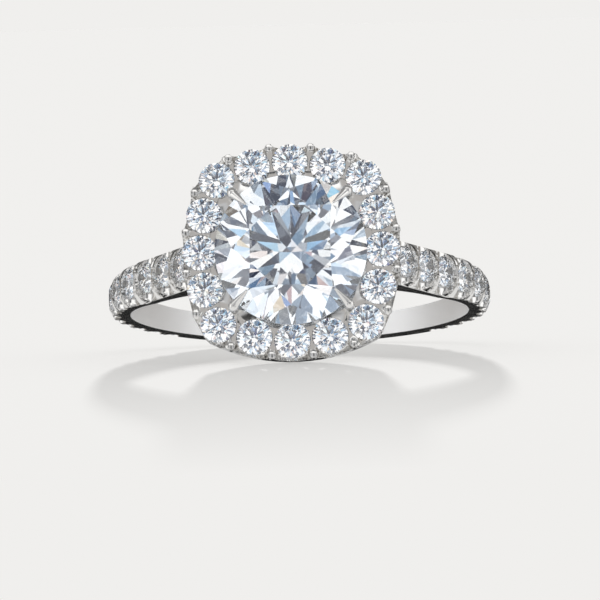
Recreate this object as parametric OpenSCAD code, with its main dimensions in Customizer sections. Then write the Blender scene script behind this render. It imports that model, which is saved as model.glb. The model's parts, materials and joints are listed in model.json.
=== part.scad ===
// Halo ring lying on its side: a round brilliant in a cushion-shaped halo of small brilliants,
// on a domed band whose two shoulders are set with stones between U-shaped cuts.
// All sizes are in millimetres. The finger hole's axis is nearly upright, and the head faces -Y.

/* [Band] */
// Diameter of the finger hole
finger_d = 16.5; // [14:0.1:21]
// Thickness of the band from the finger hole outwards
band_t = 1.07; // [1:0.01:1.6]
// Width of the band at its shoulders
shoulder_w = 2.2; // [2:0.05:2.6]
// Width of the band at the back
back_w = 1.1; // [1:0.02:1.7]
// Angle from the head at which the band starts to narrow
taper_from = 58; // [45:1:75]
// Angle from the head at which the shoulders leave the circle and run straight up to the halo
shoulder_at = 57; // [52:1:62]
// Radius of the rounded edges along the outside of the band
edge_r = 0.85; // [0.6:0.01:0.95]
// How much thinner the band is under the head
under_drop = 0.1; // [0.05:0.01:0.3]

/* [Band stones] */
// Diameter of each stone on the straight part of a shoulder
band_stone_d = 1.52; // [1.2:0.01:1.54]
// Diameter of the last stone towards the back; those between shrink evenly
last_stone_d = 1.1; // [0.9:0.01:1.2]
// Metal between neighbouring band stones
band_bar = 0.14; // [0.12:0.01:0.3]
// Number of stones on the straight part of each shoulder
straight_count = 3; // [2:1:3]
// Number of stones on the round part of each shoulder
round_count = 9; // [3:1:10]
// Height of each table above the top of the band
table_proud = 0.02; // [0:0.01:0.06]
// Distance of each side cut's inner end from the middle of the band
cut_start = 0.28; // [0.2:0.01:0.4]
// Radius of each side cut at its inner end, as a share of its stone's diameter
cut_in_share = 0.4; // [0.3:0.01:0.42]
// Radius of each side cut at the side of the band, as a share of its stone's diameter
cut_out_share = 0.43; // [0.4:0.01:0.46]
// Width of the groove that splits each bar's ends
split_w = 0.1; // [0.04:0.01:0.12]
// Depth of that groove
split_depth = 0.18; // [0.05:0.01:0.25]

/* [Centre stone] */
// Diameter of the centre stone
center_d = 7.25; // [6:0.05:8]
// Height of the centre stone's point above the finger hole
culet_clear = 0.4; // [0.3:0.02:1.2]
// Height of the centre stone's girdle above the halo stones' girdles
center_rise = 0.35; // [0.3:0.01:0.6]

/* [Halo] */
// Distance from the centre stone's edge out to the middle of a side's middle stone
halo_reach = 0.705; // [0.6:0.005:1]
// How far each side of the halo bulges past its corner stones
cushion_bulge = 0.83; // [0.5:0.01:1.1]
// Metal between neighbouring halo stones
halo_bar = 0.1; // [0.08:0.01:0.3]
// Stones between two corner stones on each side
halo_side_count = 3; // [3:1:4]
// Height of the halo's wall below the stones' girdles
halo_depth = 1.35; // [1.1:0.05:1.6]
// How much the halo narrows at each side from its face down to its lower edge
halo_taper = 0.12; // [0:0.01:0.25]
// Metal outside the stones' edges
halo_rim = 0.05; // [0.02:0.01:0.2]
// Thickness of the halo's outer and inner walls
halo_wall = 0.4; // [0.3:0.02:0.6]
// Thickness of the plate that holds the halo stones
halo_plate = 0.5; // [0.4:0.02:0.7]
// Height of the plate's face above the girdles
plate_proud = 0.05; // [0.03:0.01:0.12]
// Radius of the side cuts at the halo's outer face, as a share of a halo stone's radius
halo_cut_share = 1.07; // [0.9:0.01:1.09]
// Radius of the round prongs at the outer ends of the halo's bars
prong_r = 0.19; // [0.14:0.01:0.24]
// Height of their domed heads above the halo's face
prong_proud = 0.07; // [0.05:0.01:0.12]
// Depth of the recess between the centre stone and the halo stones, below their girdles
recess_depth = 0.16; // [0.1:0.01:0.4]
// How far that recess reaches under the inner edges of the halo stones
recess_under = 0.42; // [0.1:0.01:0.45]

/* [Claws and gallery] */
// Diameter of each claw's wire
claw_d = 0.4; // [0.3:0.02:0.44]
// Diameter of a claw's head, where it bends over the centre stone
claw_head_d = 0.54; // [0.44:0.02:0.6]
// Diameter of a claw's pointed end
claw_tip_d = 0.14; // [0.1:0.02:0.24]
// Length of the claws over the centre stone, measured inwards
claw_reach = 0.64; // [0.4:0.02:0.9]
// Thickness of the gallery cone under the head
gallery_wall = 0.4; // [0.3:0.02:0.6]
// Radius of the four gallery windows
window_r = 0.36; // [0.25:0.01:0.42]

/* [Stone cut] */
// Width of the table as a share of the stone
table_share = 0.57; // [0.53:0.01:0.62]
// Slope of the crown's main facets
crown_angle = 34.5; // [32:0.5:36]
// Slope of the pavilion's main facets
pavilion_angle = 40.75; // [40:0.25:42]
// Thickness of the girdle as a share of the stone
girdle_share = 0.026; // [0.02:0.002:0.04]
// Clearance between a stone and its seat
seat_gap = 0.02; // [0.01:0.005:0.04]

/* [Hidden] */
$fn = 96;
EPS = 0.01;
// Length that a cutter runs past the metal it cuts
PAST = 1;
// Shares of the crown and pavilion that the star and lower facets take
STAR = 0.52;
LOWER = 0.78;
// Where a bar's split starts, as a share of where the side cuts start
SPLIT_SHARE = 1.3;
// Where the halo's side cuts start, as a share of a halo stone's radius, and their inner radius as a
// share of their outer one
HALO_CUT_START = 0.45;
HALO_CUT_TAPER = 0.9;
// A corner stone has two side cuts, each turned this far to its side
CORNER_SPREAD = 9;
// How far the prongs stand out from the halo's outer face; the radius of their domed heads and their
// length, as shares of their own radius
PRONG_STEP = 0.02;
PRONG_DOME = 2.4;
PRONG_LENGTH = 2.6;
// The round hole under the centre stone, as a share of it
HOLE_SHARE = 0.83;
// The gallery's foot: its radius as a share of the centre stone's, and its depth in the band as a
// share of the band's thickness
FOOT_SHARE = 0.6;
FOOT_DEPTH = 0.3;
// Slope of the claws over the crown
CLAW_SLOPE = 41;
// Height of a claw's pointed end above the crown, as a share of its radius
TIP_CLEAR = 1.9;
// How much each small stone is turned from the last
STONE_TURN = 17;
// Steps of the girdle's outline along one facet, for the centre stone and for the small ones
CENTER_STEPS = 4;
SMALL_STEPS = 1;

// How far the straight shoulders run into the round part, and how much smaller they are than it
JOINT = 0.3;
SHOULDER_STEP = 0.02;

METAL = "silver";
STONE = "lightcyan";

finger_r = finger_d / 2;
band_r = finger_r + band_t;
shoulder_half = shoulder_w / 2;
back_half = back_w / 2;
// The band's sides narrow along one large arc, tangent at the back
taper_y = -band_r * cos(taper_from);
taper_run = band_r - taper_y;
taper_drop = shoulder_half - back_half;
taper_r = (taper_run * taper_run + taper_drop * taper_drop) / (2 * taper_drop);

flat_half = shoulder_half - edge_r;
stone_line_r = band_r - crown_height(band_stone_d);
band_count = straight_count + round_count;
split_from = SPLIT_SHARE * cut_start;

center_r = center_d / 2;
center_z = finger_r + culet_clear + pavilion_height(center_d);
halo_z = center_z - center_rise;
halo_base_z = halo_z - halo_depth;
halo_top_z = halo_z + plate_proud;

// The row of halo stones: four arcs that meet at the corner stones
halo_half = center_r + halo_reach;
corner_half = halo_half - cushion_bulge;
arc_r = (corner_half * corner_half + cushion_bulge * cushion_bulge) / (2 * cushion_bulge);
arc_half = asin(corner_half / arc_r);
side_steps = halo_side_count + 1;
arc_step = 2 * arc_half / side_steps;
halo_count = 4 * side_steps;
halo_stone_d = 2 * arc_r * sin(arc_step / 2) - halo_bar;
halo_stone_r = halo_stone_d / 2;
halo_offset = halo_stone_r + halo_rim;
// Where the side cuts of the halo start and end, outwards from a stone's middle
halo_cut_from = HALO_CUT_START * halo_stone_r;
halo_cut_r = halo_cut_share * halo_stone_r;
halo_cut_in_r = HALO_CUT_TAPER * halo_cut_r;

hole_r = HOLE_SHARE * center_r;
inner_wall_r = hole_r + halo_wall;
claw_r = claw_d / 2;
claw_head_r = claw_head_d / 2;
claw_tip_r = claw_tip_d / 2;
claw_at = center_r + seat_gap * 2 + claw_r;
gallery_foot_r = FOOT_SHARE * center_r;
gallery_foot_z = band_r - FOOT_DEPTH * band_t;
// Length of the straight shoulders, past the halo's base
shoulder_run = halo_z / sin(shoulder_at);

// The ring rests on the halo's lower edge and on the back of the band
rest_half = halo_half + halo_offset - halo_taper;
tilt = atan2(rest_half - back_half, halo_base_z + back_edge_r());
lift = rest_half * cos(tilt) - halo_base_z * sin(tilt);
table_r = center_r * table_share * cos(22.5);
front_y = -(center_z + crown_height(center_d)) * cos(tilt) - table_r * sin(tilt);
back_y = max([for (z = [0 : back_half / 20 : back_half]) dome_radius(z) * cos(tilt) + z * sin(tilt)]);

function two_digits(i) = str(i < 10 ? "0" : "", i);
function halo_stone_name(i) = str("halo_stone_", two_digits(i));

// Radius of the band's outside at a height from its middle
function edge_drop(z) = edge_r - sqrt(edge_r * edge_r - z * z);
function dome_radius(z) = band_r - edge_drop(max(0, z - flat_half));
function back_edge_r() = dome_radius(back_half);

function crown_height(d) = d / 2 * ((1 - table_share) * tan(crown_angle) + girdle_share);
function pavilion_height(d) = d / 2 * (tan(pavilion_angle) + girdle_share);

// A round brilliant with its girdle's middle at z = 0, for a radius of 1 times r
function ring_point(r, angle, z) = [r * cos(angle), r * sin(angle), z];
function star_r() = table_share * cos(22.5) + STAR * (1 - table_share * cos(22.5));
function lower_r() = 1 - LOWER;
// Drop of a half facet's plane at a point of the round girdle beyond the chord
function arc_drop(angle, rise, r) =
    rise * (cos(angle - 11.25) - cos(11.25)) / ((1 - r) * cos(11.25));

function brilliant_points(d, steps) =
    let (r = d / 2, g = girdle_share,
         tc = tan(crown_angle), tp = tan(pavilion_angle),
         rs = star_r(), rl = lower_r(),
         zs = (1 - rs * cos(22.5)) * tc, zl = (1 - rl * cos(22.5)) * tp,
         n = 16 * steps, part = 22.5 / steps)
    concat(
        [for (k = [0 : 7]) r * ring_point(table_share, 45 * k, g + (1 - table_share) * tc)],
        [for (k = [0 : 7]) r * ring_point(rs, 45 * k + 22.5, g + zs)],
        [for (j = [0 : n - 1]) r * ring_point(1, part * j, g - arc_drop((j % steps) * part, zs, rs))],
        [for (j = [0 : n - 1]) r * ring_point(1, part * j, -g + arc_drop((j % steps) * part, zl, rl))],
        [for (k = [0 : 7]) r * ring_point(rl, 45 * k + 22.5, -g - zl)],
        [[0, 0, -r * (g + tp)]]);

function brilliant_faces(steps) =
    let (n = 16 * steps, s = 8, u = 16, w = 16 + n, l = 16 + 2 * n, c = l + 8, half = 2 * steps)
    concat(
        [[for (k = [7 : -1 : 0]) k]],
        [for (k = [0 : 7]) [k, (k + 1) % 8, s + k]],
        [for (k = [0 : 7]) [k, s + k, u + half * k, s + (k + 7) % 8]],
        [for (k = [0 : 7]) concat([s + k], [for (j = [steps : -1 : 0]) u + (half * k + j) % n])],
        [for (k = [0 : 7]) concat([s + k], [for (j = [half : -1 : steps]) u + (half * k + j) % n])],
        [for (j = [0 : n - 1]) [u + j, u + (j + 1) % n, w + (j + 1) % n, w + j]],
        [for (k = [0 : 7]) concat([l + k], [for (j = [0 : steps]) w + (half * k + j) % n])],
        [for (k = [0 : 7]) concat([l + k], [for (j = [steps : half]) w + (half * k + j) % n])],
        [for (k = [0 : 7]) [c, l + (k + 7) % 8, w + half * k, l + k]]);

module brilliant(d, steps) {
    color(STONE) rotate([0, 0, 22.5])
        polyhedron(points = brilliant_points(d, steps), faces = brilliant_faces(steps), convexity = 2);
}

// The pocket that a stone drops into: cones under the girdle, just outside the pavilion's ridges, and
// a well above it
module stone_pocket(d, above) {
    r = d / 2 + seat_gap;
    g = girdle_share * d / 2 + seat_gap;
    depth = r * tan(pavilion_angle);
    rotate_extrude() polygon([[0, -g - depth],
        [lower_r() * r, -g - (1 - lower_r() * cos(22.5)) * depth], [r, -g], [r, above], [0, above]]);
}

// Places a piece of the head, whose own axis points up, on the ring's head
module on_head() {
    rotate([90, 0, 0]) children();
}

// Places a piece at an angle from the head, with its own axis pointing out of the band
module on_band(angle) {
    rotate([0, 0, angle]) rotate([90, 0, 0]) children();
}

// Places a piece along the band: before 0 on the straight shoulder, past 0 round the finger hole
module at_stop(s) {
    if (s < 0) on_band(shoulder_at) translate([s, 0, 0]) children();
    else on_band(shoulder_at + s / stone_line_r * 180 / PI) children();
}

module both_sides() {
    children();
    mirror([1, 0, 0]) children();
}

// Lays the ring on its side, as it rests
module at_rest() {
    translate([0, -(front_y + back_y) / 2, lift]) rotate([-tilt, 0, 0]) children();
}

// A straight round rod that may narrow, between two points
module rod(from, to, r1, r2) {
    v = to - from;
    len = norm(v);
    translate(from) rotate([0, acos(v[2] / len), atan2(v[1], v[0])]) cylinder(h = len, r1 = r1, r2 = r2);
}

// Diameter of stone i, counted from the head, and its place along the band
function stone_size(i) =
    band_stone_d - max(0, i - straight_count + 1) * (band_stone_d - last_stone_d) / round_count;
function stone_stop(i) =
    i < straight_count ? (i - straight_count + 0.5) * (band_stone_d + band_bar)
    : stone_stop(i - 1) + (stone_size(i - 1) + stone_size(i)) / 2 + band_bar;
function bar_stop(i) = stone_stop(i) - (stone_size(i) + band_bar) / 2;
function stone_r(i) = band_r + table_proud - crown_height(stone_size(i));

// The outline across the band, its outer face on the axis, reaching inwards by a depth; with an
// inset it is that much lower and narrower at each side
module band_outline(depth, inset = 0) {
    half = shoulder_half - inset;
    translate([-inset, 0]) intersection() {
        union() {
            for (s = [-1, 1]) translate([-edge_r, s * flat_half]) circle(edge_r);
            translate([-edge_r, -flat_half]) square([edge_r, 2 * flat_half]);
            translate([-depth, -shoulder_half]) square([depth - edge_r, shoulder_w]);
        }
        translate([-depth, -half]) square([depth + PAST, 2 * half]);
    }
}

// Round part of the band, and the two straight shoulders that end inside the halo
module band_blank() {
    difference() {
        union() {
            rotate([0, 0, shoulder_at - 90]) rotate_extrude(angle = 360 - 2 * shoulder_at)
                translate([band_r, 0]) band_outline(band_t + PAST);
            both_sides() shoulder();
            // The band goes on under the head, a little thinner
            rotate_extrude() translate([band_r, 0]) band_outline(band_t, under_drop);
        }
        // The sides narrow to the back
        for (s = [-1, 1])
            translate([0, band_r, s * (back_half + taper_r)])
                rotate([0, 90, 0]) cylinder(h = 4 * band_r, r = taper_r, center = true, $fn = 360);
    }
}

module shoulder() {
    intersection() {
        on_band(shoulder_at) translate([-shoulder_run, 0, band_r])
            rotate([90, 0, 90]) rotate([0, 0, 90])
                linear_extrude(shoulder_run + JOINT) band_outline(band_r, SHOULDER_STEP);
        translate([gallery_foot_r - gallery_wall, -halo_base_z - halo_wall / 2, -shoulder_w])
            cube([band_r, halo_base_z + halo_wall / 2, 2 * shoulder_w]);
    }
}

// The two U-shaped cuts beside a band stone of diameter d, opening outwards
module band_side_cuts(d) {
    for (s = [-1, 1])
        translate([0, s * cut_start, band_r]) rotate([s * -90, 0, 0])
            cylinder(h = shoulder_half + EPS - cut_start, r1 = cut_in_share * d, r2 = cut_out_share * d);
}

// The groove that splits both ends of the bar beside a stone of diameter d, along the rounded edges
module bar_split(d) {
    reach = cut_out_share * d;
    for (s = [0, 1]) mirror([0, s, 0]) rotate([90, 0, 90]) linear_extrude(split_w, center = true)
        difference() {
            translate([split_from, band_r - reach]) square([shoulder_half, reach + PAST]);
            translate([flat_half, band_r - edge_r]) circle(edge_r - split_depth);
            translate([0, finger_r]) square([flat_half, band_t - split_depth]);
        }
}

module band_cutters() {
    both_sides() {
        for (i = [0 : band_count - 1]) at_stop(stone_stop(i)) {
            translate([0, 0, stone_r(i)]) stone_pocket(stone_size(i), PAST);
            band_side_cuts(stone_size(i));
        }
        for (i = [1 : band_count - 1]) at_stop(bar_stop(i)) bar_split(stone_size(i));
    }
}

// Where halo stone i sits, and the direction that points out of the halo there
function halo_step(i) = i % side_steps;
function halo_quarter(i) = floor(i / side_steps);
function turned(p, a) = [p[0] * cos(a) - p[1] * sin(a), p[0] * sin(a) + p[1] * cos(a)];
function arc_point(a, offset) = [(arc_r + offset) * sin(a), halo_half - arc_r + (arc_r + offset) * cos(a)];
function halo_spot(i) = turned(arc_point(-arc_half + halo_step(i) * arc_step, 0), -90 * halo_quarter(i));
function halo_out(i) = (halo_step(i) == 0 ? 135 : 90 + arc_half - halo_step(i) * arc_step)
    - 90 * halo_quarter(i);
// The middle of the bar after stone i, moved out from the row
function bar_spot(i, offset) =
    turned(arc_point(-arc_half + (halo_step(i) + 0.5) * arc_step, offset), -90 * halo_quarter(i));

// A solid with the halo's outline, moved out from the stones' row by an offset, and narrower
// downwards by a taper
module cushion(offset, z0, z1, taper = 0) {
    intersection() {
        intersection_for (a = [0, 90, 180, 270])
            rotate([0, 0, a]) translate([0, halo_half - arc_r, z0])
                cylinder(h = z1 - z0, r1 = arc_r + offset - taper, r2 = arc_r + offset, $fn = 180);
        translate([0, 0, z0]) cylinder(h = z1 - z0, r1 = corner_half * sqrt(2) + offset - taper,
            r2 = corner_half * sqrt(2) + offset);
    }
}

// Plate, outer wall and inner wall of the halo, open underneath
module halo_blank() {
    difference() {
        cushion(halo_offset, halo_base_z, halo_top_z, halo_taper);
        difference() {
            cushion(halo_offset - halo_wall, halo_base_z - PAST, halo_top_z - halo_plate);
            translate([0, 0, halo_base_z - 2 * PAST])
                cylinder(h = halo_depth + 3 * PAST, r = inner_wall_r);
        }
    }
}

// Cone that carries the head on the band, with four windows
module gallery() {
    difference() {
        rotate_extrude() polygon([
            [gallery_foot_r - gallery_wall, gallery_foot_z],
            [gallery_foot_r, gallery_foot_z],
            [inner_wall_r, halo_base_z],
            [inner_wall_r, halo_base_z + halo_wall],
            [inner_wall_r - gallery_wall, halo_base_z + halo_wall]]);
        for (a = [45, 135])
            rotate([0, 0, a]) translate([0, 0, (gallery_foot_z + halo_base_z) / 2])
                rotate([0, 90, 0]) cylinder(h = 4 * inner_wall_r, r = window_r, center = true, $fn = 48);
    }
}

// One claw on the halo's plate, its tip bent over the centre stone
module claw() {
    girdle_z = center_z + girdle_share * center_r;
    foot_z = (halo_z - recess_depth + halo_top_z - halo_plate) / 2;
    knee_z = girdle_z + claw_head_r;
    tip_at = center_r - claw_reach;
    tip_z = girdle_z + claw_reach * tan(CLAW_SLOPE) + TIP_CLEAR * claw_tip_r;
    translate([claw_at, 0, foot_z]) cylinder(h = knee_z - foot_z, r = claw_r);
    translate([claw_at, 0, knee_z]) sphere(claw_head_r);
    rod([claw_at, 0, knee_z], [tip_at, 0, tip_z], claw_head_r - EPS, claw_tip_r - EPS);
    translate([tip_at, 0, tip_z]) sphere(claw_tip_r);
}

module halo_cutters() {
    // Room for the centre stone, down to its point
    translate([0, 0, center_z]) stone_pocket(center_d, EPS);
    cushion(recess_under - halo_stone_r, halo_z - recess_depth, halo_z + PAST);
    translate([0, 0, halo_base_z + halo_wall / 2]) cylinder(h = halo_depth + PAST, r = hole_r);
    for (i = [0 : halo_count - 1]) translate(halo_spot(i)) translate([0, 0, halo_z]) {
        stone_pocket(halo_stone_d, PAST);
        for (s = halo_step(i) == 0 ? [-1, 1] : [0])
            rotate([0, 90, halo_out(i) + s * CORNER_SPREAD]) translate([0, 0, halo_cut_from])
                cylinder(h = halo_offset - halo_cut_from + halo_bar, r1 = halo_cut_in_r, r2 = halo_cut_r);
    }
}

// The round prongs at the outer ends of the halo's bars, with domed heads
module halo_prongs() {
    length = PRONG_LENGTH * prong_r;
    dome_r = PRONG_DOME * prong_r;
    for (i = [0 : halo_count - 1])
        translate(bar_spot(i, halo_offset + PRONG_STEP - prong_r))
            translate([0, 0, halo_top_z + prong_proud]) intersection() {
                translate([0, 0, -length]) cylinder(h = length, r = prong_r);
                translate([0, 0, -dome_r]) sphere(dome_r);
            }
}

// All the metal, cast and soldered into one
module ring_mount() {
    color(METAL) at_rest() difference() {
        union() {
            difference() {
                union() {
                    difference() {
                        band_blank();
                        band_cutters();
                    }
                    on_head() {
                        halo_blank();
                        gallery();
                    }
                }
                on_head() halo_cutters();
            }
            on_head() {
                halo_prongs();
                for (a = [45 : 90 : 315]) rotate([0, 0, a]) claw();
            }
        }
        cylinder(h = 4 * shoulder_w, r = finger_r, center = true);
    }
}

module center_stone() {
    at_rest() on_head() translate([0, 0, center_z]) brilliant(center_d, CENTER_STEPS);
}

module halo_stone(i) {
    at_rest() on_head() translate(halo_spot(i - 1)) translate([0, 0, halo_z])
        rotate([0, 0, halo_out(i - 1) + STONE_TURN * i]) brilliant(halo_stone_d, SMALL_STEPS);
}

module band_stones() {
    for (i = [0 : band_count - 1])
        at_stop(stone_stop(i)) translate([0, 0, stone_r(i)]) rotate([0, 0, STONE_TURN * i])
            brilliant(stone_size(i), SMALL_STEPS);
}

module band_stones_right() {
    at_rest() band_stones();
}

module band_stones_left() {
    at_rest() mirror([1, 0, 0]) band_stones();
}

ring_mount();
center_stone();
band_stones_left();
band_stones_right();
for (i = [1 : halo_count]) halo_stone(i);
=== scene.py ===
"""Looks of the halo ring: polished white metal, brilliants, and a pale studio with soft light.

All lengths are in metres. The ring lies on its side: the axis of its finger hole leans from +Z
towards +Y, and its head faces -Y.
"""

import json
import math

import bpy
from mathutils import Matrix, Vector


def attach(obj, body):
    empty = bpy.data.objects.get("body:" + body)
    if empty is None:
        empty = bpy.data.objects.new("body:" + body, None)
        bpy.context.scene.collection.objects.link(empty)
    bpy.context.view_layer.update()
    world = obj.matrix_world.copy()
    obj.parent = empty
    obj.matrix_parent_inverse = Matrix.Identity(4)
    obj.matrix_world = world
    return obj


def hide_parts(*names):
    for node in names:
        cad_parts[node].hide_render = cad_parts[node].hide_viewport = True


bl_info = {
    "name": "Halo Ring Looks",
    "version": (1, 0, 0),
    "blender": (4, 5, 0),
    "location": "View3D > Sidebar > Halo Ring",
    "description": "Finishes the metal and stones of a halo ring and sets it on a pale floor",
    "category": "Object",
}

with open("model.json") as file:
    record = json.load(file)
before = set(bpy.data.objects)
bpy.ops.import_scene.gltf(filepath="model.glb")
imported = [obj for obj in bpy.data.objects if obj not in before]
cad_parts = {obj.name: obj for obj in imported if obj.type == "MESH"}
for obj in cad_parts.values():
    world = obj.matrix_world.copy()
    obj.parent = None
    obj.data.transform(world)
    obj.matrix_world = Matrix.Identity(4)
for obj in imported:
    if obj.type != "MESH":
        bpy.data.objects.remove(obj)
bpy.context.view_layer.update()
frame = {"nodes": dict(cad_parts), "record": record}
nodes = frame["nodes"]
BODY = "root"
MM = 0.001

# The finger hole's middle and lean come from the row's own bore
BORE = next(m for m in frame["record"]["mounts"] if m["name"] == "finger_bore")
RING_MIDDLE = Vector(BORE["pos_m"])
FINGER_AXIS = Vector(BORE["axis"]).normalized()
FINGER_R = BORE["dims"]["r_mm"] * MM
LEAN = math.atan2(FINGER_AXIS.y, FINGER_AXIS.z)
CENTER_STONE_R = max(v.co.x for v in nodes["center_stone"].data.vertices)

# Places on the ring, each from one end of its soft edge to the other: the inner wall by distance
# from the finger axis, the head by the distance in front of it, and the centre stone's girdle by
# the distance from the head's axis
INNER_WALL = (FINGER_R + 0.02 * MM, FINGER_R + 0.06 * MM)
HEAD = (FINGER_R + 1.3 * MM, FINGER_R + 1.7 * MM)
GIRDLE = (CENTER_STONE_R - 0.012 * MM, CENTER_STONE_R - 0.004 * MM)
# Cosines to the finger axis from which a face begins to count as a flat side, and counts in full
FLAT_SIDES = (0.96, 0.985)

# Corners of the mount's mesh that lie closer than this are joined
MERGE_DISTANCE = 0.0004 * MM
# Rays that find the edges to round
EDGE_SAMPLES = 4

# Marks of polishing: size and detail of their noise, the shares of the polish's roughness that
# they go between, and the share of the metal's colour that they go down to
MARKS_SCALE = 2200
MARKS_DETAIL = 3
MARKS_ROUGHNESS = (0.6, 1.5)
MARKS_COLOR = 0.94
# Slow waves that the polishing wheel leaves on the head
WAVES_SCALE = 650
WAVES_DETAIL = 1
WAVES_HEIGHT = 0.05 * MM
# Seen through a stone the metal is rough, so its many small glints blend to an even grey; there and
# on the inner wall its colour is also painted white, as painted light that makes both show lighter
ROUGHNESS_BEHIND_STONES = 0.8
PAINTED_LIGHT_METAL = (1, 1, 1)

# Clouds of colour in the stones: size and detail of their noise, and where the tinge begins in it
# and is full
CLOUDS_SCALE = 420
CLOUDS_DETAIL = 1
CLOUDS_TINGED = (0.5, 0.66)

# The studio as the metal sees it, laid one over the other: name, colour, strength, azimuth and
# elevation of the middle (0 is behind the camera, positive to the right), half width, half height
# and soft edge, all in degrees
STUDIO_BASE = (0.62, 0.63, 0.65)
STUDIO_PATCHES = (
    ("white below", (1, 1, 1), 0.9, 0, -90, 89, 89, 10),
    ("warm grey sides", (1, 0.95, 0.89), 0.36, 180, 20, 85, 26, 6),
    ("dark back", (1, 1, 1), 0.012, 180, 12, 30, 18, 5),
    ("grey ceiling", (1, 1, 1), 0.30, 180, 80, 50, 34, 8),
    ("dark under the back", (1, 1, 1), 0.015, 180, -24, 24, 11, 4),
    ("upper softbox", (1, 1, 1), 1.3, 0, 50, 32, 11, 5),
    ("left softbox", (1, 1, 1), 1.3, -62, 10, 16, 24, 6),
    ("right softbox", (1, 1, 1), 1.3, 62, 10, 16, 24, 6),
    ("camera", (1, 1, 1), 0.04, 2, 3, 8, 9, 2),
    ("front card", (1, 0.97, 0.95), 0.52, 0, 24, 14, 8, 3),
    ("dark strip left", (1, 1, 1), 0.03, -34, 8, 5, 30, 2),
    ("dark strip right", (1, 1, 1), 0.03, 34, 8, 5, 30, 2),
)

# The light inside the stones, as fields of noise over the directions: their size, detail and
# place, how far the colours part at their edges, their strength, and the colours from the darkest
# field to the lightest, each with its place in the noise
SPARKLE_SCALE = 3.0
SPARKLE_DETAIL = 0.6
SPARKLE_SEED = 4.0
SPARKLE_FIRE = 0.006
SPARKLE_STRENGTH = 1.36
SPARKLE_STEPS = (
    (0, (0.02, 0.025, 0.04)),
    (0.38, (0.04, 0.05, 0.08)),
    (0.42, (0.17, 0.22, 0.29)),
    (0.475, (0.29, 0.35, 0.43)),
    (0.495, (0.50, 0.56, 0.63)),
    (0.535, (0.74, 0.78, 0.83)),
    (0.56, (1.0, 1.0, 1.0)),
    (1, (1.0, 1.0, 1.0)),
)
# Fields around the viewer's direction are darker and those at the sides a little lighter: the
# direction, the cosines to it, and how far down the noise goes at each
VIEWER = (0.03, -0.997, 0.07)
VIEWER_FIELDS = (0.75, 1)
VIEWER_SHADE = (-0.02, 0.07)

# Light is thrown about many times inside the stones before it leaves them
BOUNCES = {"glossy_bounces": 12, "transmission_bounces": 16, "max_bounces": 20}

# The lamp that lights the floor alone, from behind the ring: its share of the floor's light and
# its angles, and the strength of the even light that gives the rest
LAMP_SHARE = 0.24
LAMP_ELEVATION = math.radians(5.3)
LAMP_AZIMUTH = math.radians(181.8)
LAMP_WIDTH = math.radians(1.6)
FLOOR_EVEN = 0.774
# Share of the floor's brightness that is its own glow, and its paper's share of the floor colour
FLOOR_GLOW = 0.45
FLOOR_PAPER = 0.41
FLOOR_ROUGHNESS = 0.9
# Towards the camera the glow takes over between these places, so that the shadows fade there
FLOOR_FADE = (-92 * MM, -15 * MM)

# Width of the camera's sensor in mm, and of the image in pixels that the view is measured in
SENSOR = 36
IMAGE = 600
# Nothing nearer to the camera or further away than this shows
CLIP = (0.02, 200)


class HaloRingMetal(bpy.types.PropertyGroup):
    """Colour and finish of the white metal"""

    color: bpy.props.FloatVectorProperty(
        name="Metal", description="Colour of the polished metal", subtype="COLOR",
        size=3, min=0, max=1, default=(0.83, 0.82, 0.80))
    polish: bpy.props.FloatProperty(
        name="Polish", description="Roughness of the polished faces", default=0.14, min=0, max=1)
    satin: bpy.props.FloatProperty(
        name="Satin", description="Roughness inside the band", default=0.5, min=0, max=1)
    smooth_angle: bpy.props.FloatProperty(
        name="Smooth angle", description="Edges flatter than this are shaded smooth",
        subtype="ANGLE", default=math.radians(20))
    edge_round: bpy.props.FloatProperty(
        name="Edge rounding", description="Radius that polishing leaves on edges",
        subtype="DISTANCE", unit="LENGTH", default=0.025 * MM)


class HaloRingStones(bpy.types.PropertyGroup):
    """Colour and refraction of the brilliants"""

    large_color: bpy.props.FloatVectorProperty(
        name="Centre stone", description="Colour of the centre stone", subtype="COLOR",
        size=3, min=0, max=1, default=(0.90, 0.95, 1.0))
    small_color: bpy.props.FloatVectorProperty(
        name="Small stones", description="Colour of the small stones", subtype="COLOR",
        size=3, min=0, max=1, default=(0.98, 0.98, 0.98))
    warm_color: bpy.props.FloatVectorProperty(
        name="Warm tinge", description="Faint tinge that comes and goes in each stone",
        subtype="COLOR", size=3, min=0, max=1, default=(1.0, 0.985, 0.95))
    ior: bpy.props.FloatProperty(
        name="Refraction", description="Index of refraction", default=2.417, min=1, max=3)
    girdle: bpy.props.FloatProperty(
        name="Girdle", description="Roughness of the centre stone's frosted edge", default=0.3,
        min=0, max=1)


class HaloRingStage(bpy.types.PropertyGroup):
    """Floor and camera"""

    floor_color: bpy.props.FloatVectorProperty(
        name="Floor", description="Colour of the floor and backdrop as it should show",
        subtype="COLOR", size=3, min=0, max=1, default=(0.871, 0.863, 0.847))
    floor_size: bpy.props.FloatProperty(
        name="Floor size", description="Width of the floor", subtype="DISTANCE", unit="LENGTH",
        default=60.0)
    camera_distance: bpy.props.FloatProperty(
        name="Camera distance", description="From the middle of the finger hole",
        subtype="DISTANCE", unit="LENGTH", default=350 * MM)
    pixels_per_mm: bpy.props.FloatProperty(
        name="Scale", description="Image pixels to a millimetre at the middle of the ring",
        default=20.4)
    rise: bpy.props.FloatProperty(
        name="Rise", description="How far the view rises from the ring's own plane",
        subtype="ANGLE", default=math.radians(11))
    turn: bpy.props.FloatProperty(
        name="Turn", description="How far the camera stands to the right of the head",
        subtype="ANGLE", default=math.radians(1.8))
    roll: bpy.props.FloatProperty(
        name="Roll", description="Clockwise turn of the ring in the image", subtype="ANGLE",
        default=math.radians(0.9))
    middle: bpy.props.FloatVectorProperty(
        name="Middle", size=2, default=(299.45, 297.2),
        description="Where the finger hole's middle sits in an image 600 pixels wide")


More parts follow.
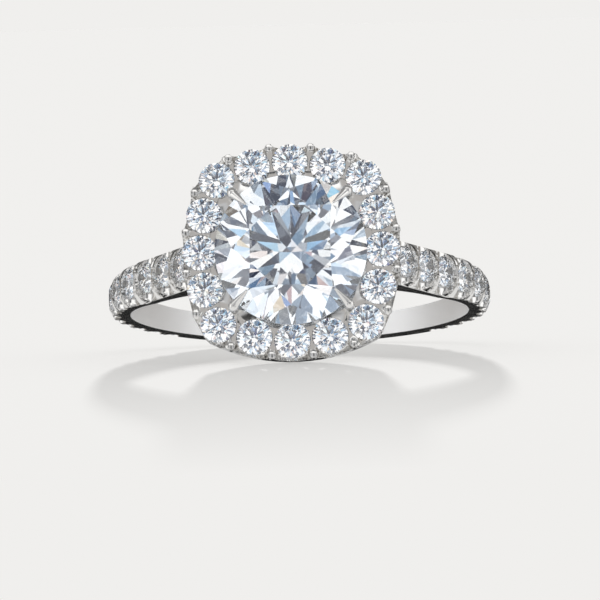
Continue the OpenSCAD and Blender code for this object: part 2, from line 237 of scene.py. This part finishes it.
SETTINGS = (
    ("halo_ring_metal", HaloRingMetal),
    ("halo_ring_stones", HaloRingStones),
    ("halo_ring_stage", HaloRingStage),
)


def add_node(tree, kind, label=None, **values):
    """A node of that kind, with its label and its attributes set."""
    node = tree.nodes.new(kind)
    if label:
        node.label = label
    for key, value in values.items():
        setattr(node, key, value)
    return node


def feed(tree, socket, value):
    """Links another node's output to the socket, or sets the socket to a fixed value."""
    if isinstance(value, bpy.types.NodeSocket):
        tree.links.new(value, socket)
    elif socket.type == "RGBA":
        socket.default_value = (*value, 1)
    else:
        socket.default_value = value


def vector_math(tree, operation, label, *values):
    """A vector maths node on outputs or fixed vectors; gives the output that it fills."""
    node = add_node(tree, "ShaderNodeVectorMath", label, operation=operation)
    for socket, value in zip(node.inputs, values):
        feed(tree, socket, value)
    return node.outputs["Value" if operation in ("DOT_PRODUCT", "LENGTH") else "Vector"]


def value_math(tree, operation, label, *values):
    """A maths node on outputs or fixed numbers; gives its output."""
    node = add_node(tree, "ShaderNodeMath", label, operation=operation)
    for socket, value in zip(node.inputs, values):
        feed(tree, socket, value)
    return node.outputs["Value"]


def map_range(tree, label, value, limits, results, smooth=False):
    """Maps a value from its limits to the results; gives the mapped value."""
    node = add_node(tree, "ShaderNodeMapRange", label,
                    interpolation_type="SMOOTHSTEP" if smooth else "LINEAR")
    sockets = ("Value", "From Min", "From Max", "To Min", "To Max")
    for name, given in zip(sockets, (value, *limits, *results)):
        feed(tree, node.inputs[name], given)
    return node.outputs["Result"]


def mix(tree, kind, label, factor, a, b):
    """Mixes two colours (RGBA), values (FLOAT) or vectors (VECTOR) by a factor."""
    node = add_node(tree, "ShaderNodeMix", label, data_type=kind)
    for name, value in (("Factor", factor), ("A", a), ("B", b)):
        feed(tree, node.inputs[name], value)
    return node.outputs["Result"]


def noise(tree, label, place, scale, detail):
    """Noise over the places; gives its value."""
    node = add_node(tree, "ShaderNodeTexNoise", label)
    for name, value in (("Vector", place), ("Scale", scale), ("Detail", detail)):
        feed(tree, node.inputs[name], value)
    return node.outputs["Fac"]


def turned(tree, label, normal, source, target):
    """A normal given in the source's axes, in the target's."""
    node = add_node(tree, "ShaderNodeVectorTransform", label, vector_type="NORMAL",
                    convert_from=source, convert_to=target)
    feed(tree, node.inputs["Vector"], normal)
    return node.outputs["Vector"]


def new_material(name):
    """A new material, with its tree and its Principled BSDF."""
    material = bpy.data.materials.new(name)
    material.use_nodes = True
    tree = material.node_tree
    return material, tree, tree.nodes["Principled BSDF"]


def new_group(name, takes, gives):
    """An empty node group with named sockets; gives it with its input and output sockets."""
    group = bpy.data.node_groups.new(name, "ShaderNodeTree")
    for kind, sockets in (("INPUT", takes), ("OUTPUT", gives)):
        for socket, socket_type in sockets:
            group.interface.new_socket(socket, in_out=kind, socket_type="NodeSocket" + socket_type)
    return (group, add_node(group, "NodeGroupInput").outputs,
            add_node(group, "NodeGroupOutput").inputs)


def use_group(tree, group, label, **values):
    """A use of a group, with its named inputs fed; gives its outputs."""
    node = add_node(tree, "ShaderNodeGroup", label, node_tree=group)
    for name, value in values.items():
        feed(tree, node.inputs[name.replace("_", " ")], value)
    return node.outputs


def only(obj):
    """Selects this object alone and makes it active."""
    bpy.ops.object.select_all(action="DESELECT")
    obj.select_set(True)
    bpy.context.view_layer.objects.active = obj


def ring_axes(tree, coords):
    """Object coordinates laid along the ring's own axes, from the middle of its finger hole."""
    node = add_node(tree, "ShaderNodeMapping", "Along the ring's axes", vector_type="TEXTURE")
    for name, value in (("Vector", coords), ("Location", RING_MIDDLE), ("Rotation", (-LEAN, 0, 0))):
        feed(tree, node.inputs[name], value)
    return node.outputs["Vector"]


def ring_place_group():
    """Tells the places on the ring apart, from its Object coordinates."""
    group, taken, given = new_group(
        "ring_place", [("Object", "Vector")],
        [("Inner Wall", "Float"), ("Head", "Float"), ("From Head Axis", "Float"),
         ("Inward", "Vector")])
    place = ring_axes(group, taken["Object"])
    across = vector_math(group, "MULTIPLY", "Across the finger axis", place, (1, 1, 0))
    away = vector_math(group, "LENGTH", "From the finger axis", across)
    feed(group, given["Inner Wall"], map_range(group, "Inner wall", away, INNER_WALL, (1, 0)))
    ahead = vector_math(group, "DOT_PRODUCT", "Towards the head", place, (0, -1, 0))
    feed(group, given["Head"], map_range(group, "Head", ahead, HEAD, (0, 1)))
    across = vector_math(group, "MULTIPLY", "Across the head's axis", place, (1, 0, 1))
    away = vector_math(group, "LENGTH", "From the head's axis", across)
    feed(group, given["From Head Axis"], away)
    # From each place straight to the finger axis, turned back to the object's own axes
    inward = vector_math(group, "MULTIPLY", "To the finger axis", place, (-1, -1, 0))
    back = add_node(group, "ShaderNodeMapping", "Back to the object's axes", vector_type="NORMAL")
    feed(group, back.inputs["Vector"], inward)
    feed(group, back.inputs["Rotation"], (-LEAN, 0, 0))
    feed(group, given["Inward"], back.outputs["Vector"])
    return group


def stone_body_group():
    """Body colour of a brilliant: clear, with a faint tinge that comes and goes."""
    group, taken, given = new_group(
        "stone_body", [("Object", "Vector"), ("Clear", "Color"), ("Tinge", "Color")],
        [("Color", "Color")])
    place = ring_axes(group, taken["Object"])
    clouds = noise(group, "Slow clouds", place, CLOUDS_SCALE, CLOUDS_DETAIL)
    share = map_range(group, "Where it is tinged", clouds, CLOUDS_TINGED, (0, 1))
    feed(group, given["Color"],
         mix(group, "RGBA", "Tinged", share, taken["Clear"], taken["Tinge"]))
    return group


def with_flat_sides(tree, normal):
    """The normal, made exact on the ring's flat sides, which are flat however they are meshed."""
    face = add_node(tree, "ShaderNodeNewGeometry").outputs["True Normal"]
    face = turned(tree, "Face direction", face, "WORLD", "OBJECT")
    along = vector_math(tree, "DOT_PRODUCT", "Along the finger axis", face, FINGER_AXIS)
    either = value_math(tree, "ABSOLUTE", "Either way", along)
    side = map_range(tree, "Flat side", either, FLAT_SIDES, (0, 1))
    upper = value_math(tree, "GREATER_THAN", "Upper side", along, 0)
    way = map_range(tree, "Up or down", upper, (0, 1), (-1, 1))
    axis = vector_math(tree, "MULTIPLY", "Straight out", way, FINGER_AXIS)
    flat = turned(tree, "Flat side's normal", axis, "OBJECT", "WORLD")
    return mix(tree, "VECTOR", "Flat sides or the rest", side, normal, flat)


def metal_material(settings, ring_place):
    """White metal: bright polish, fine satin inside the band, rounded edges, faint hand polish, and
    painted light that whitens its colour inside the band and behind the stones.
    """
    material, tree, shader = new_material("white_metal_polished")
    coords = add_node(tree, "ShaderNodeTexCoord").outputs["Object"]
    behind = add_node(tree, "ShaderNodeLightPath").outputs["Is Transmission Ray"]
    place = use_group(tree, ring_place, "Place on the ring", Object=coords)
    inside = place["Inner Wall"]
    along = ring_axes(tree, coords)

    marks = noise(tree, "Marks of polishing", along, MARKS_SCALE, MARKS_DETAIL)
    rough = map_range(tree, "Polished roughness", marks, (0, 1),
                      [settings.polish * share for share in MARKS_ROUGHNESS])
    rough = mix(tree, "FLOAT", "Satin inside", inside, rough, settings.satin)
    rough = mix(tree, "FLOAT", "Even behind the stones", behind, rough, ROUGHNESS_BEHIND_STONES)
    feed(tree, shader.inputs["Roughness"], rough)

    color = mix(tree, "RGBA", "Slightly uneven colour", marks, settings.color,
                [c * MARKS_COLOR for c in settings.color])
    # Painted light: inside the band and where it is seen through a stone, the metal's colour is
    # raised to white so that it shows lighter
    light = value_math(tree, "MAXIMUM", "Inside or behind a stone", behind, inside)
    color = mix(tree, "RGBA", "Painted light there", light, color, PAINTED_LIGHT_METAL)
    feed(tree, shader.inputs["Base Color"], color)

    waves = noise(tree, "Slow waves left by the wheel", along, WAVES_SCALE, WAVES_DETAIL)
    bump = add_node(tree, "ShaderNodeBump", "Waves")
    feed(tree, bump.inputs["Distance"], WAVES_HEIGHT)
    feed(tree, bump.inputs["Height"],
         value_math(tree, "MULTIPLY", "On the head alone", waves, place["Head"]))
    bevel = add_node(tree, "ShaderNodeBevel", "Edges rounded by polishing", samples=EDGE_SAMPLES)
    feed(tree, bevel.inputs["Radius"], settings.edge_round)
    feed(tree, bevel.inputs["Normal"], bump.outputs["Normal"])
    normal = with_flat_sides(tree, bevel.outputs["Normal"])
    # The inner wall is round however coarse its mesh
    inward = turned(tree, "Round inner wall", place["Inward"], "OBJECT", "WORLD")
    normal = mix(tree, "VECTOR", "Inner wall or the rest", inside, normal, inward)
    feed(tree, shader.inputs["Normal"], normal)
    shader.inputs["Metallic"].default_value = 1
    return material


def stone_material(name, color, settings, stone_body):
    """Clear brilliant: flat polished facets that bend and throw back the light."""
    material, tree, shader = new_material(name)
    coords = add_node(tree, "ShaderNodeTexCoord").outputs["Object"]
    body = use_group(tree, stone_body, "Body colour", Object=coords, Clear=color,
                     Tinge=settings.warm_color)
    feed(tree, shader.inputs["Base Color"], body["Color"])
    shader.inputs["Roughness"].default_value = 0
    shader.inputs["IOR"].default_value = settings.ior
    shader.inputs["Transmission Weight"].default_value = 1
    return material


def frost_girdle(material, settings, ring_place):
    """Makes the centre stone's outer edge rough."""
    tree = material.node_tree
    coords = add_node(tree, "ShaderNodeTexCoord").outputs["Object"]
    place = use_group(tree, ring_place, "Place on the ring", Object=coords)
    frost = map_range(tree, "Frosted girdle", place["From Head Axis"], GIRDLE,
                      (0, settings.girdle))
    feed(tree, tree.nodes["Principled BSDF"].inputs["Roughness"], frost)


class HALORING_OT_mount(bpy.types.Operator):
    """Smooth and finish the band, halo and claws"""

    bl_idname = "halo_ring.mount"
    bl_label = "Metal mount"

    def execute(self, context):
        settings = context.scene.halo_ring_metal
        mount = nodes["ring_mount"].copy()
        mount.data = mount.data.copy()
        mount.name = mount.data.name = "mount_polished"
        for key in list(mount.keys()):
            if key.startswith("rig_"):
                del mount[key]
        mount.parent = None
        context.scene.collection.objects.link(mount)
        only(mount)
        bpy.ops.object.mode_set(mode="EDIT")
        bpy.ops.mesh.select_all(action="SELECT")
        bpy.ops.mesh.remove_doubles(threshold=MERGE_DISTANCE)
        bpy.ops.object.mode_set(mode="OBJECT")
        bpy.ops.object.shade_smooth_by_angle(angle=settings.smooth_angle)
        mount.data.materials.clear()
        mount.data.materials.append(metal_material(settings, ring_place_group()))
        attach(mount, BODY)
        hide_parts("ring_mount")
        return {"FINISHED"}


class HALORING_OT_stones(bpy.types.Operator):
    """Finish the brilliants"""

    bl_idname = "halo_ring.stones"
    bl_label = "Brilliants"

    def execute(self, context):
        settings = context.scene.halo_ring_stones
        ring_place = bpy.data.node_groups.get("ring_place") or ring_place_group()
        stone_body = stone_body_group()
        large = stone_material("brilliant_large", settings.large_color, settings, stone_body)
        frost_girdle(large, settings, ring_place)
        small = stone_material("brilliant_small", settings.small_color, settings, stone_body)
        for name, node in nodes.items():
            if name != "ring_mount":
                node.data.materials.clear()
                node.data.materials.append(large if name == "center_stone" else small)
        return {"FINISHED"}


def studio_patch_group():
    """Lays a soft-edged rectangle of light over the light below it, around one direction."""
    group, taken, given = new_group(
        "studio_patch",
        [("Direction", "Vector"), ("Below", "Color"), ("Light", "Color"), ("Aim", "Vector"),
         ("Across", "Vector"), ("Along", "Vector"), ("Width In", "Float"), ("Width Out", "Float"),
         ("Height In", "Float"), ("Height Out", "Float")],
        [("Color", "Color")])
    aimed = vector_math(group, "DOT_PRODUCT", "Aim", taken["Direction"], taken["Aim"])
    inside = value_math(group, "GREATER_THAN", "On this side", aimed, 0)
    for axis, size in (("Across", "Width"), ("Along", "Height")):
        off = vector_math(group, "DOT_PRODUCT", axis, taken["Direction"], taken[axis])
        off = value_math(group, "ABSOLUTE", axis, off)
        edge = map_range(group, size, off, (taken[size + " Out"], taken[size + " In"]), (0, 1),
                         smooth=True)
        inside = value_math(group, "MULTIPLY", "Inside", inside, edge)
    feed(group, given["Color"],
         mix(group, "RGBA", "Patch over the rest", inside, taken["Below"], taken["Light"]))
    return group


def soft_edge(half, soft):
    """Sines of the angles where a patch's soft edge begins and ends, given both in degrees."""
    return [math.sin(math.radians(min(90, max(0, half + side * soft)))) for side in (-1, 1)]


def studio_light(tree, direction):
    """The studio's light over the directions, as the metal sees it."""
    color = add_node(tree, "ShaderNodeRGB", "Soft light all round").outputs["Color"]
    color.default_value = (*STUDIO_BASE, 1)
    group = studio_patch_group()
    for name, tint, strength, azimuth, elevation, half_width, half_height, soft in STUDIO_PATCHES:
        az = math.radians(azimuth)
        el = math.radians(elevation)
        aim = Vector((math.sin(az) * math.cos(el), -math.cos(az) * math.cos(el), math.sin(el)))
        across = Vector((math.cos(az), math.sin(az), 0))
        width_in, width_out = soft_edge(half_width, soft)
        height_in, height_out = soft_edge(half_height, soft)
        color = use_group(
            tree, group, name, Direction=direction, Below=color,
            Light=[c * strength for c in tint], Aim=aim, Across=across, Along=across.cross(aim),
            Width_In=width_in, Width_Out=width_out, Height_In=height_in,
            Height_Out=height_out)["Color"]
    return color


def sparkle_field_group():
    """One look at the light inside the stones: dark, grey and white fields over the directions."""
    group, taken, given = new_group(
        "sparkle_field", [("Direction", "Vector"), ("Shift", "Vector"), ("Shade", "Float")],
        [("Color", "Color")])
    place = vector_math(group, "ADD", "Shifted", taken["Direction"], taken["Shift"])
    fields = noise(group, "Fields", place, SPARKLE_SCALE, SPARKLE_DETAIL)
    level = value_math(group, "SUBTRACT", "Darker for the viewer", fields, taken["Shade"])
    ramp = add_node(group, "ShaderNodeValToRGB", "From dark to white")
    stops = ramp.color_ramp.elements
    # The ramp comes with a first and a last stop
    for position, _ in SPARKLE_STEPS[1:-1]:
        stops.new(position)
    for stop, (position, color) in zip(stops, SPARKLE_STEPS):
        stop.position = position
        stop.color = (*color, 1)
    feed(group, ramp.inputs["Fac"], level)
    feed(group, given["Color"], ramp.outputs["Color"])
    return group


def sparkle_light(tree, direction):
    """The light that the stones throw back: fields with faintly coloured edges."""
    ahead = vector_math(tree, "DOT_PRODUCT", "Towards the viewer", direction, VIEWER)
    shade = map_range(tree, "Darker for the viewer", ahead, VIEWER_FIELDS, VIEWER_SHADE)
    group = sparkle_field_group()
    joined = add_node(tree, "ShaderNodeCombineColor", "Coloured edges")
    for name, shift in (("Red", SPARKLE_FIRE), ("Green", 0), ("Blue", -SPARKLE_FIRE)):
        field = use_group(tree, group, name, Direction=direction, Shade=shade,
                          Shift=(shift + SPARKLE_SEED, shift, -shift))
        parts = add_node(tree, "ShaderNodeSeparateColor", name)
        feed(tree, parts.inputs["Color"], field["Color"])
        feed(tree, joined.inputs[name], parts.outputs[name])
    return joined.outputs["Color"]


class HALORING_OT_stage(bpy.types.Operator):
    """Floor, studio light and camera"""

    bl_idname = "halo_ring.stage"
    bl_label = "Stage"

    def execute(self, context):
        settings = context.scene.halo_ring_stage
        floor = self.floor(settings)
        self.lamp(context, floor)
        self.world(context, settings)
        self.camera(context, settings)
        context.scene.view_settings.view_transform = "Standard"
        for name, count in BOUNCES.items():
            setattr(context.scene.cycles, name, count)
        return {"FINISHED"}

    def floor(self, settings):
        """Pale paper that partly glows, so that it shows the floor's colour wherever it is lit."""
        bpy.ops.mesh.primitive_plane_add(size=settings.floor_size, location=(0, 0, 0))
        floor = bpy.context.object
        floor.name = floor.data.name = "floor"
        material, tree, shader = new_material("floor_paper")
        coords = add_node(tree, "ShaderNodeTexCoord").outputs["Object"]
        away = vector_math(tree, "DOT_PRODUCT", "Away from the camera", coords, (0, 1, 0))
        lit = map_range(tree, "Share that is lit", away, FLOOR_FADE, (0, 1))
        paper = [c * FLOOR_PAPER for c in settings.floor_color]
        feed(tree, shader.inputs["Base Color"], mix(tree, "RGBA", "Paper", lit, (0, 0, 0), paper))
        feed(tree, shader.inputs["Emission Color"], settings.floor_color)
        feed(tree, shader.inputs["Emission Strength"],
             map_range(tree, "Glow", lit, (0, 1), (1, FLOOR_GLOW)))
        shader.inputs["Roughness"].default_value = FLOOR_ROUGHNESS
        shader.inputs["Specular IOR Level"].default_value = 0
        floor.data.materials.append(material)
        # The metal and the stones see the studio's own light from below instead
        floor.visible_transmission = False
        floor.visible_glossy = False
        return floor

    def lamp(self, context, floor):
        """Low lamp behind the ring, which throws its shadow on the floor."""
        data = bpy.data.lights.new("floor_back", "SUN")
        data.energy = LAMP_SHARE * math.pi / math.sin(LAMP_ELEVATION) / FLOOR_PAPER
        data.angle = LAMP_WIDTH
        lamp = bpy.data.objects.new("floor_back", data)
        lamp.rotation_euler = (math.pi / 2 - LAMP_ELEVATION, 0, LAMP_AZIMUTH)
        receivers = bpy.data.collections.new("floor_only")
        receivers.objects.link(floor)
        lamp.light_linking.receiver_collection = receivers
        context.scene.collection.objects.link(lamp)

    def world(self, context, settings):
        """Light all round: one for the floor, one for the metal and one for the stones."""
        world = bpy.data.worlds.new("studio")
        context.scene.world = world
        world.use_nodes = True
        tree = world.node_tree
        tree.nodes.clear()
        output = add_node(tree, "ShaderNodeOutputWorld")
        direction = add_node(tree, "ShaderNodeTexCoord").outputs["Generated"]
        path = add_node(tree, "ShaderNodeLightPath")
        lights = {}
        for name, color, strength in (
                ("even on the floor", (1, 1, 1), FLOOR_EVEN),
                ("studio", studio_light(tree, direction), 1),
                ("in the stones", sparkle_light(tree, direction), SPARKLE_STRENGTH),
                ("plain backdrop", settings.floor_color, 1)):
            light = add_node(tree, "ShaderNodeBackground", name)
            feed(tree, light.inputs["Color"], color)
            feed(tree, light.inputs["Strength"], strength)
            lights[name] = light.outputs["Background"]
        # A ray inside a stone counts as glossy too, so the stones' light comes after the studio's
        shown = lights["even on the floor"]
        for ray, name in (("Is Glossy Ray", "studio"), ("Is Transmission Ray", "in the stones"),
                          ("Is Camera Ray", "plain backdrop")):
            choose = add_node(tree, "ShaderNodeMixShader", ray)
            for socket, value in zip(choose.inputs, (path.outputs[ray], shown, lights[name])):
                feed(tree, socket, value)
            shown = choose.outputs["Shader"]
        feed(tree, output.inputs["Surface"], shown)

    def camera(self, context, settings):
        """Long lens, low in front of the head and a little to its right."""
        rise, turn, roll = settings.rise, settings.turn, settings.roll
        lean = Matrix.Rotation(-LEAN, 3, "X") @ Matrix.Rotation(turn, 3, "Z")
        ahead = lean @ Vector((0, math.cos(rise), math.sin(rise)))
        up = lean @ Vector((0, -math.sin(rise), math.cos(rise)))
        right = lean @ Vector((1, 0, 0))
        up, right = (up * math.cos(roll) + right * math.sin(roll),
                     right * math.cos(roll) - up * math.sin(roll))
        data = bpy.data.cameras.new("camera")
        camera = bpy.data.objects.new("camera", data)
        context.scene.collection.objects.link(camera)
        place = RING_MIDDLE - ahead * settings.camera_distance
        camera.matrix_world = (Matrix.Translation(place)
                               @ Matrix((right, up, -ahead)).transposed().to_4x4())
        data.sensor_width = SENSOR
        data.lens = SENSOR * settings.pixels_per_mm * settings.camera_distance / MM / IMAGE
        data.shift_x = (IMAGE / 2 - settings.middle[0]) / IMAGE
        data.shift_y = (settings.middle[1] - IMAGE / 2) / IMAGE
        data.clip_start, data.clip_end = CLIP
        context.scene.camera = camera


class HALORING_PT_panel(bpy.types.Panel):
    """The ring's finishes and steps"""

    bl_idname = "HALORING_PT_panel"
    bl_label = "Halo Ring"
    bl_space_type = "VIEW_3D"
    bl_region_type = "UI"
    bl_category = "Halo Ring"

    def draw(self, context):
        for key, group in SETTINGS:
            box = self.layout.box()
            for name in group.__annotations__:
                box.prop(getattr(context.scene, key), name)
        for operator in OPERATORS:
            self.layout.operator(operator.bl_idname)


OPERATORS = (HALORING_OT_mount, HALORING_OT_stones, HALORING_OT_stage)


def register():
    for key, group in SETTINGS:
        bpy.utils.register_class(group)
        setattr(bpy.types.Scene, key, bpy.props.PointerProperty(type=group))
    for cls in (*OPERATORS, HALORING_PT_panel):
        bpy.utils.register_class(cls)


def unregister():
    for cls in reversed((*OPERATORS, HALORING_PT_panel)):
        bpy.utils.unregister_class(cls)
    for key, group in reversed(SETTINGS):
        delattr(bpy.types.Scene, key)
        bpy.utils.unregister_class(group)


def main():
    register()
    bpy.ops.halo_ring.mount()
    bpy.ops.halo_ring.stones()
    bpy.ops.halo_ring.stage()


if __name__ == "__main__":
    main()
